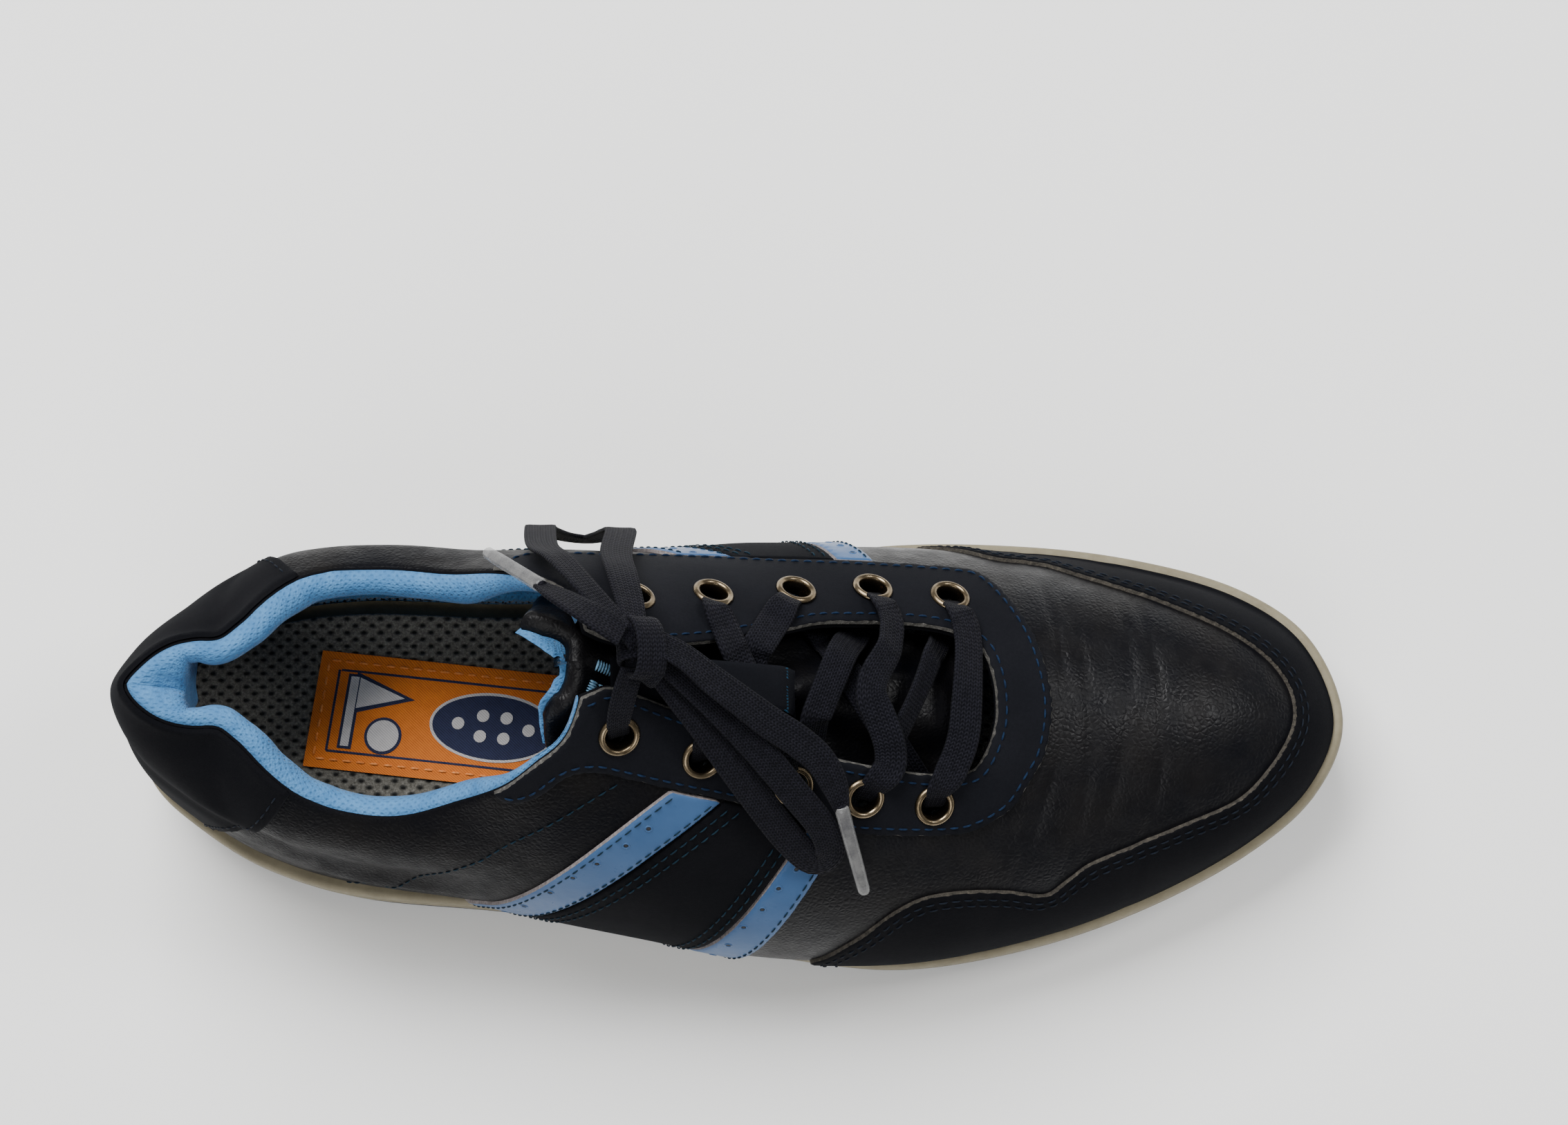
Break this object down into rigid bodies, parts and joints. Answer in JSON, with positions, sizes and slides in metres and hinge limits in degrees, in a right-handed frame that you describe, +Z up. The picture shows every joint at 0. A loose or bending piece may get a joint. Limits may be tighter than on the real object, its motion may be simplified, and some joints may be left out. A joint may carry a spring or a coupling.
{
  "type": "golf shoe",
  "caption": "Right-foot lace-up golf shoe with padded collar, hinged tongue, overlaid side stripes, moulded cleated sole and a tied flat lace.",
  "frame": {"origin": "middle of the sole's box in plan, on the ground", "axes": "+X from heel to toe, +Y towards the inner side of the foot, +Z up"},
  "size_m": [0.2944, 0.1053, 0.1245],
  "materials": {
    "leather": "tumbled full-grain leather, near-black navy, soft sheen",
    "nubuck": "matt nubuck, near-black navy",
    "eyestay": "matt coated leather, near-black",
    "stripe": "light-blue patent leather, glossy",
    "lining": "light-blue perforated spacer mesh",
    "midsole": "taupe moulded foam, satin",
    "outsole": "dark navy moulded rubber",
    "foam": "open-cell padding foam",
    "board": "fibre insole board",
    "shank": "spring steel strip",
    "stiffener": "thermoplastic stiffener sheet",
    "footbed": "grey spacer mesh over foam",
    "label": "orange woven patch",
    "brass": "antique brass",
    "lace": "flat woven navy lace",
    "aglet": "clear plastic tip"
  },
  "bodies": {
    "shoe": {"outsole": "outsole", "midsole": "midsole", "shank": "shank", "insole_board": "board", "footbed": "footbed", "footbed_label": "label", "vamp": "leather", "quarter_lateral": "leather", "quarter_medial": "leather", "eyestay": "eyestay", "toe_mudguard": "nubuck", "heel_overlay": "nubuck", "side_panel_lateral": "nubuck", "side_panel_medial": "nubuck", "stripe_rear_lateral": "stripe", "stripe_rear_medial": "stripe", "stripe_front_lateral": "stripe", "stripe_front_medial": "stripe", "vamp_lining": "lining", "collar_lining": "lining", "heel_stiffener": "stiffener", "toe_puff": "stiffener", "collar_foam": "foam", "eyelet_lateral_1": "brass", "eyelet_lateral_2": "brass", "eyelet_lateral_3": "brass", "eyelet_lateral_4": "brass", "eyelet_lateral_5": "brass", "eyelet_medial_1": "brass", "eyelet_medial_2": "brass", "eyelet_medial_3": "brass", "eyelet_medial_4": "brass", "eyelet_medial_5": "brass", "lace_bar_1": "lace", "lace_bar_2": "lace", "lace_cross_1": "lace", "lace_cross_2": "lace", "lace_under_1": "lace", "lace_under_2": "lace", "lace_under_3": "lace", "lace_under_4": "lace", "lace_under_5": "lace", "lace_knot": "lace", "lace_loop_outer": "lace", "lace_loop_inner": "lace", "lace_tail_outer": "lace", "lace_tail_inner": "lace", "lace_rise_outer": "lace", "lace_rise_inner": "lace", "aglet_outer": "aglet", "aglet_inner": "aglet"},
    "tongue": {"tongue_outer": "leather", "tongue_foam": "foam", "tongue_lining": "lining", "lace_keeper": "leather"}
  },
  "joints": [
    {"name": "tongue_swing", "type": "hinge", "parent": "shoe", "child": "tongue", "pos_m": [0.05475, 0, 0.058], "axis": [0, 1, 0], "range_deg": [-6, 0], "stiffness_Nm_per_rad": 0.2, "springref_deg": 11.46, "deforming": ["lace_cross_1", "lace_cross_2"]}
  ]
}
